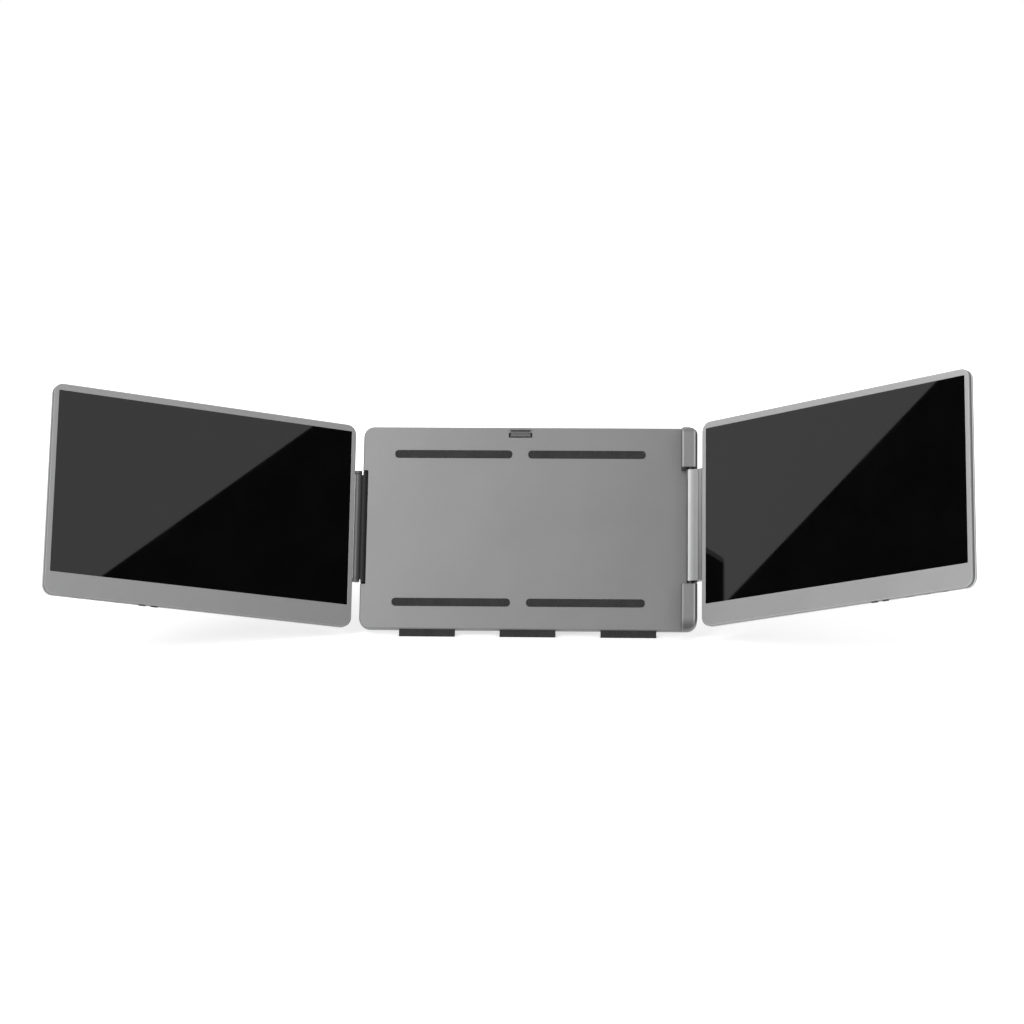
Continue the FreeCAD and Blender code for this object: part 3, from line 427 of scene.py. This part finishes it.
def moulded(name, tone, roughness, scale=1.6, depth=0.03, metallic=0.0, ribs=0.0):
    """Moulded plastic or rubber with a fine spark-eroded texture."""
    shader = Shader(name)
    place = shader.coordinates()
    texture = shader.noise(place, scale, detail=4.0, roughness=0.6)
    cloud = shader.noise(place, scale=0.05, detail=2.0)
    color = shader.blend(cloud, scaled(tone, 0.8), scaled(tone, 1.2))
    highlight_mask, rounded = shader.edge_highlight_mask(radius=0.35)
    # Painted highlight along the edges
    color = shader.mix(highlight_mask, color, scaled(tone, 1.8, lift=0.01))
    if ribs:
        wave = shader.node("ShaderNodeTexWave", bands_direction="X")
        wave.inputs["Scale"].default_value = 0.16
        shader.link(place, wave.inputs["Vector"])
        rounded = shader.bump(wave.outputs["Fac"], ribs, strength=1.0, normal=rounded)
    shader.set(Metallic=metallic)
    shader.feed(
        Base_Color=color,
        Roughness=shader.range(texture, roughness - 0.08, roughness + 0.08),
        Normal=shader.bump(texture, depth, strength=0.7, normal=rounded),
    )
    return shader.material


def screen_gloss():
    """A dark display behind polished glass, with a very faint wipe haze."""
    shader = Shader("screen_gloss")
    haze = shader.noise(shader.coordinates(), scale=0.02)
    shader.set(IOR=1.5)
    shader.feed(
        Base_Color=shader.blend(haze, low=0.0022, high=0.0032),
        Roughness=shader.range(haze, 0.012, 0.03),
    )
    return shader.material


def circuit_board():
    """Green board with paler tracks."""
    shader = Shader("circuit_board")
    tracks = shader.node("ShaderNodeTexBrick")
    tracks.inputs["Scale"].default_value = 0.35
    tracks.inputs["Mortar Size"].default_value = 0.03
    shader.link(shader.coordinates(), tracks.inputs["Vector"])
    color = shader.mix(tracks.outputs["Fac"], [0.01, 0.10, 0.04], [0.03, 0.20, 0.08])
    shader.set(Roughness=0.35)
    shader.feed(Base_Color=color)
    return shader.material


def flag_black():
    """Dull black that mirrors nothing."""
    shader = Shader("flag_black")
    shader.set(Base_Color=(FLAG_TONE, FLAG_TONE, FLAG_TONE, 1))
    shader.set(Roughness=1.0, Specular_IOR_Level=0.0)
    return shader.material


# Finishes of the nodes


def shade_along(axis, edges, stops):
    """What Shader.shade needs, from a table of stops and the edges it names."""
    levels = [(edges[edge] + further, level) for edge, further, level in stops]
    return axis, edges["low"], edges["high"], levels


def rim_shade(side):
    """The rim from back to front in painted light: painted shade on the back edge, a painted highlight on the
    wall, a painted shadow at the seam, plain face.
    """
    _, normal = display_axes(side)
    back = reach(f"{side}_back_cover", normal)["low"]
    bezel = reach(f"{side}_bezel", normal)
    edges = {
        "low": back - RIM_MARGIN,
        "back": back,
        "seam": bezel["low"],
        "front": bezel["high"],
        "high": bezel["high"] + RIM_MARGIN,
    }
    return shade_along(normal, edges, RIM_PAINTED_LIGHT_STOPS)


def tower_satin_with_painted_light(name):
    """Painted light on the tower: painted shade on its sides and ends, painted highlights along its long edges."""
    shades = [
        shade_along(right, reach(name, right), TOWER_SIDE_PAINTED_LIGHT_STOPS),
        shade_along(up, reach(name, up), TOWER_END_PAINTED_SHADE_STOPS[name]),
    ]
    return satin_paint(name, (0.25, 0.25, 0.253), shades=shades)


def slot_finishes():
    """One finish for each material slot of the frame."""
    # Painted light on the bracket plate, brighter towards the left
    plate = shade_along(right, reach("bracket_front_plate", right), PLATE_PAINTED_LIGHT_STOPS)
    # Painted highlight and painted shade across the left hinge barrel
    barrel_edges = reach("left_hinge_bracket", right)
    barrel_edges["high"] = barrel_edges["low"] + BARREL_SPAN
    barrel = shade_along(right, barrel_edges, BARREL_PAINTED_LIGHT_AND_SHADE_STOPS)
    # Painted light and shade across the right hinge arm
    arm = shade_along(right, reach("right_hinge_arm", right), ARM_PAINTED_LIGHT_STOPS)
    return {
        "satin_grey": satin_paint("bracket_satin", (0.245, 0.245, 0.248), shades=[plate]),
        "light_metal": brushed_metal(
            "arm_brushed", (0.36, 0.36, 0.364), roughness=0.36, shades=[arm]
        ),
        # The left hinge's dark tone is painted shade, for the shadow it lies in beside the left display
        "dark_metal": satin_paint(
            "hinge_dark",
            (0.090, 0.090, 0.092),
            roughness=0.36,
            metallic=0.5,
            specular=0.12,
            shades=[barrel],
        ),
        "steel": brushed_metal(
            "ground_steel", (0.50, 0.50, 0.51), roughness=0.3, stretch=(1, 1, 1), streak=0.12
        ),
        "screw_black": moulded(
            "screw_black",
            (0.035, 0.035, 0.036),
            roughness=0.35,
            scale=2.5,
            depth=0.01,
            metallic=0.8,
        ),
        "rubber": moulded(
            "rubber", (0.028, 0.028, 0.028), roughness=0.8, scale=1.1, depth=0.05, ribs=0.5
        ),
        "screen_glass": screen_gloss(),
        "black_foam": moulded(
            "foam", (0.02, 0.02, 0.02), roughness=0.9, scale=2.0, depth=0.05
        ),
        "panel_module": moulded("module_black", (0.02, 0.02, 0.021), roughness=0.45),
        "board_green": circuit_board(),
        "ribbon_amber": moulded(
            "ribbon_amber", (0.40, 0.20, 0.04), roughness=0.35, scale=0.8, depth=0.01
        ),
        "black_plastic": moulded("black_plastic", (0.045, 0.045, 0.046), roughness=0.5),
    }


def node_finishes(slots):
    """Finishes of the nodes that differ from the rest of their slot."""
    found = {
        "right_hinge_shaft": slots["screw_black"],
        "clamp_hook": satin_paint("clamp_hook_satin", (0.125, 0.125, 0.127)),
        # A stronger painted highlight on the clamp's edges
        "lid_clamp": satin_paint("lid_clamp_satin", (0.235, 0.235, 0.238), edge=1.5),
    }
    for name in TOWER_END_PAINTED_SHADE_STOPS:
        found[name] = tower_satin_with_painted_light(name)
    # The bezels share one paint; painted light makes the right one brighter and the left one darker
    for side, bezel_painted_light_tone in (("left", 0.36), ("right", 0.50)):
        # Painted light and shade along each display's rim
        rim = rim_shade(side)
        found[f"{side}_bezel"] = satin_paint(
            f"{side}_bezel_satin",
            (bezel_painted_light_tone, bezel_painted_light_tone, bezel_painted_light_tone * 1.01),
            roughness=0.38,
            specular=0.35,
            shades=[rim],
        )
        found[f"{side}_back_cover"] = satin_paint(
            f"{side}_cover_satin",
            (0.27, 0.27, 0.274),
            roughness=0.42,
            specular=0.35,
            shades=[rim],
        )
        found[f"{side}_port_sockets"] = slots["steel"]
        found[f"{side}_torque_washers"] = slots["screw_black"]
    return found


def dress_frame(slots):
    """Each CAD node gets the finish of its slot, and some nodes a version of their own."""
    own = node_finishes(slots)
    for entry in frame["record"]["subparts"]:
        name = entry["node"]
        plain = slots.get(entry["material_slot"], slots["satin_grey"])
        target = nodes[name]
        target.data.materials.clear()
        target.data.materials.append(own.get(name, plain))


# Pieces finer than the construction needs


def islands(name):
    """The separate solids of a CAD node, each as a list of its points."""
    build = bmesh.new()
    build.from_mesh(nodes[name].data)
    bmesh.ops.remove_doubles(build, verts=build.verts, dist=WELD_DISTANCE * MM)
    known = set()
    groups = []
    for seed in build.verts:
        if seed in known:
            continue
        known.add(seed)
        group = [seed]
        for vertex in group:
            for edge in vertex.link_edges:
                other = edge.other_vert(vertex)
                if other not in known:
                    known.add(other)
                    group.append(other)
        groups.append([vertex.co.copy() for vertex in group])
    build.free()
    return groups


def gather(points, axes):
    """The box of some points along three axes."""
    return [
        (min(point.dot(axis) for point in points), max(point.dot(axis) for point in points))
        for axis in axes
    ]


def from_axes(axes, u, v, w):
    """The point at these places along three axes."""
    return axes[0] * u + axes[1] * v + axes[2] * w


def finish_piece(name, build, material, body):
    bmesh.ops.recalc_face_normals(build, faces=build.faces)
    mesh = bpy.data.meshes.new(name)
    build.to_mesh(mesh)
    build.free()
    piece = bpy.data.objects.new(name, mesh)
    scene.collection.objects.link(piece)
    mesh.materials.append(material)
    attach(piece, body)
    return piece


def round_share(step):
    """A round outline keeps its full radius all round."""
    return 1.0


def hexagon_share(step):
    """How near a hexagon's outline lies to its middle, as a share of its corners."""
    part = (step * SOCKET_CORNERS / SCREW_SIDES) % 1.0
    half_side = math.pi / SOCKET_CORNERS
    return math.cos(half_side) / math.cos(2 * half_side * (part - 0.5))


def ring(build, axes, centre, radius, depth, share=round_share):
    """A closed loop of new points at one depth of a screw."""
    points = []
    for step in range(SCREW_SIDES):
        angle = math.tau * step / SCREW_SIDES
        u = centre[0] + radius * share(step) * math.cos(angle)
        v = centre[1] + radius * share(step) * math.sin(angle)
        points.append(build.verts.new(from_axes(axes, u, v, depth)))
    return points


def bridge(build, first, second):
    """Faces between two closed loops of as many points."""
    count = len(first)
    for step in range(count):
        after = (step + 1) % count
        build.faces.new((first[step], first[after], second[after], second[step]))


def socket_screws(node_name, axes, body, material):
    """Bevelled heads with a six-sided socket, in place of the plain ones."""
    build = bmesh.new()
    socket = SOCKET_RADIUS * MM
    bevel = HEAD_BEVEL * MM
    for points in islands(node_name):
        (u_low, u_high), (v_low, v_high), (w_low, w_high) = gather(points, axes)
        centre = ((u_low + u_high) / 2, (v_low + v_high) / 2)
        head = (u_high - u_low) / 2
        shank = head * SHANK_SHARE
        head_top = w_low + HEAD_HEIGHT * MM
        rings = [
            ring(build, axes, centre, socket, w_low + SOCKET_FLOOR * MM, hexagon_share),
            ring(build, axes, centre, socket, w_low + SOCKET_MOUTH * MM, hexagon_share),
            ring(build, axes, centre, head - bevel, w_low),
            ring(build, axes, centre, head, w_low + bevel),
            ring(build, axes, centre, head, head_top),
            ring(build, axes, centre, shank, head_top),
            ring(build, axes, centre, shank, w_high),
        ]
        for first, second in zip(rings, rings[1:]):
            bridge(build, first, second)
        build.faces.new(rings[0])
        build.faces.new(rings[-1])
    piece = finish_piece(f"{node_name}_socketed", build, material, body)
    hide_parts(node_name)


def box_into(build, axes, spans):
    """A box between two places on each axis."""
    (u_low, u_high), (v_low, v_high), (w_low, w_high) = spans
    corners = []
    for w in (w_low, w_high):
        for u, v in ((u_low, v_low), (u_high, v_low), (u_high, v_high), (u_low, v_high)):
            corners.append(build.verts.new(from_axes(axes, u, v, w)))
    bridge(build, corners[:4], corners[4:])
    build.faces.new(corners[:4])
    build.faces.new(corners[4:])


def socket_tongues(side, axes, material):
    """The contact tongue inside each socket, and the dark block behind it."""
    build = bmesh.new()
    margin = TONGUE_MARGIN * MM
    half = TONGUE_HALF * MM
    inner = BLOCK_MARGIN * MM
    for points in islands(f"{side}_port_sockets"):
        (u_low, u_high), (v_low, v_high), (w_low, w_high) = gather(points, axes)
        middle = (w_low + w_high) / 2
        tongue = (
            (u_low + margin, u_high - margin),
            (v_low + TONGUE_FRONT * MM, v_high - TONGUE_BACK * MM),
            (middle - half, middle + half),
        )
        block = (
            (u_low + inner, u_high - inner),
            (v_high - BLOCK_FRONT * MM, v_high - BLOCK_BACK * MM),
            (w_low + inner, w_high - inner),
        )
        box_into(build, axes, tongue)
        box_into(build, axes, block)
    body = f"{side}_display"
    finish_piece(f"{side}_socket_tongues", build, material, body)


def add_details(slots):
    socket_screws("bracket_screws", (right, up, out), "bracket", slots["screw_black"])
    for side in ("left", "right"):
        across, normal = display_axes(side)
        axes = (across, up, normal)
        body = f"{side}_display"
        socket_screws(f"{side}_cover_screws", axes, body, slots["screw_black"])
        socket_tongues(side, axes, slots["black_plastic"])


# Surroundings


def empty_tree(data):
    """The emptied node tree of a material or a world."""
    data.use_nodes = True
    data.node_tree.nodes.clear()
    return data.node_tree


def joined(tree, kind, sources, operation=None):
    """A node whose first inputs take these sources in turn."""
    made = tree.nodes.new(kind)
    if operation:
        made.operation = operation
    for place, source in enumerate(sources):
        tree.links.new(source, made.inputs[place])
    return made.outputs[0] if made.outputs else made


def either_ray(tree, *kinds):
    """One for a ray of any of these kinds, else nought."""
    paths = tree.nodes.new("ShaderNodeLightPath")
    found = paths.outputs[kinds[0]]
    for kind in kinds[1:]:
        found = joined(tree, "ShaderNodeMath", (found, paths.outputs[kind]), "MAXIMUM")
    return found


def plain_light(tree, kind, strength=1.0):
    """A white glow or background."""
    made = tree.nodes.new(kind)
    made.inputs["Color"].default_value = (1, 1, 1, 1)
    made.inputs["Strength"].default_value = strength
    return made


def backdrop_material(name):
    """White to the camera and to mirrors, a plain pale floor to everything else."""
    material = bpy.data.materials.new(name)
    tree = empty_tree(material)
    diffuse = tree.nodes.new("ShaderNodeBsdfDiffuse")
    diffuse.inputs["Color"].default_value = (FLOOR_TONE, FLOOR_TONE, FLOOR_TONE, 1)
    place = tree.nodes.new("ShaderNodeTexCoord")
    length = tree.nodes.new("ShaderNodeVectorMath")
    length.operation = "LENGTH"
    tree.links.new(place.outputs["Object"], length.inputs[0])
    fade = tree.nodes.new("ShaderNodeMapRange")
    fade.inputs["From Min"].default_value = FLOOR_NEAR
    fade.inputs["From Max"].default_value = FLOOR_FAR
    fade.inputs["To Min"].default_value = FLOOR_GLOW
    tree.links.new(length.outputs["Value"], fade.inputs["Value"])
    seen = either_ray(tree, "Is Camera Ray", "Is Glossy Ray")
    strength = joined(tree, "ShaderNodeMath", (seen, fade.outputs["Result"]), "MULTIPLY")
    glow = plain_light(tree, "ShaderNodeEmission")
    tree.links.new(strength, glow.inputs["Strength"])
    total = joined(tree, "ShaderNodeAddShader", (diffuse.outputs[0], glow.outputs[0]))
    joined(tree, "ShaderNodeOutputMaterial", (total,))
    return material


def make_floor():
    mesh = bpy.data.meshes.new("floor")
    build = bmesh.new()
    bmesh.ops.create_grid(build, x_segments=2, y_segments=2, size=FLOOR_HALF)
    build.to_mesh(mesh)
    build.free()
    floor = bpy.data.objects.new("floor", mesh)
    scene.collection.objects.link(floor)
    floor.location.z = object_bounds()[0].z - FLOOR_GAP
    floor.data.materials.append(backdrop_material("floor_white"))


def make_world():
    """White where it is seen or mirrored, softer where it only lights."""
    world = bpy.data.worlds.new("studio")
    scene.world = world
    tree = empty_tree(world)
    seen = either_ray(tree, "Is Camera Ray", "Is Glossy Ray", "Is Transmission Ray")
    soft_light = plain_light(tree, "ShaderNodeBackground", WORLD_STRENGTH).outputs[0]
    seen_light = plain_light(tree, "ShaderNodeBackground").outputs[0]
    blend = joined(tree, "ShaderNodeMixShader", (seen, soft_light, seen_light))
    joined(tree, "ShaderNodeOutputWorld", (blend,))


def make_lamps():
    """Three square lamps; the fill stays out of the glass."""
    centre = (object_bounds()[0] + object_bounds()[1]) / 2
    for name, place, size, power in LAMPS:
        data = bpy.data.lights.new(name, "AREA")
        data.shape = "SQUARE"
        data.size = size
        data.energy = power
        lamp = bpy.data.objects.new(name, data)
        scene.collection.objects.link(lamp)
        lamp.location = place
        direction = centre - lamp.location
        lamp.rotation_euler = direction.to_track_quat("-Z", "Y").to_euler()
        lamp.visible_glossy = name != "fill"


def reflected(point, normal):
    """The ray from the camera that the flat glass sends on from a point."""
    ray = (point - CAMERA_PLACE).normalized()
    return ray - 2 * ray.dot(normal) * normal


def make_flag(side, start_share, end_share):
    """A black studio flag whose edge the glass shows as a crisp diagonal.

    The shares run along the glass's lower and upper edges from its left to its right."""
    low_left, low_right, high_right, high_left = glass_corners(side)
    across = (low_right - low_left).normalized()
    rise = (high_left - low_left).normalized()
    normal = across.cross(rise).normalized()
    start = low_left.lerp(low_right, start_share)
    end = high_left.lerp(high_right, end_share)
    along = (end - start).normalized()
    away = along.cross(normal).normalized() * FLAG_WIDTH
    middle = start.lerp(end, 0.5)
    towards = reflected(middle, normal).normalized()
    plane_point = middle + towards * FLAG_DISTANCE

    def on_flag(point):
        ray = reflected(point, normal)
        distance = (plane_point - point).dot(towards) / ray.dot(towards)
        return point + ray * distance

    low = start - along * FLAG_OVERLAP
    high = end + along * FLAG_OVERLAP
    corners = [on_flag(point) for point in (low, high, high + away, low + away)]
    mesh = bpy.data.meshes.new(f"{side}_flag")
    mesh.from_pydata(corners, [], [(0, 1, 2, 3)])
    flag = bpy.data.objects.new(f"{side}_flag", mesh)
    scene.collection.objects.link(flag)
    flag.data.materials.append(flag_black())
    flag.visible_camera = False
    flag.visible_diffuse = False
    flag.visible_shadow = False
    flag.visible_transmission = False


make_camera()
slots = slot_finishes()
dress_frame(slots)
add_details(slots)
make_world()
make_lamps()
make_floor()
make_flag("left", 0.165, 0.86)
make_flag("right", 0.09, 0.90)

scene.view_settings.view_transform = "Standard"
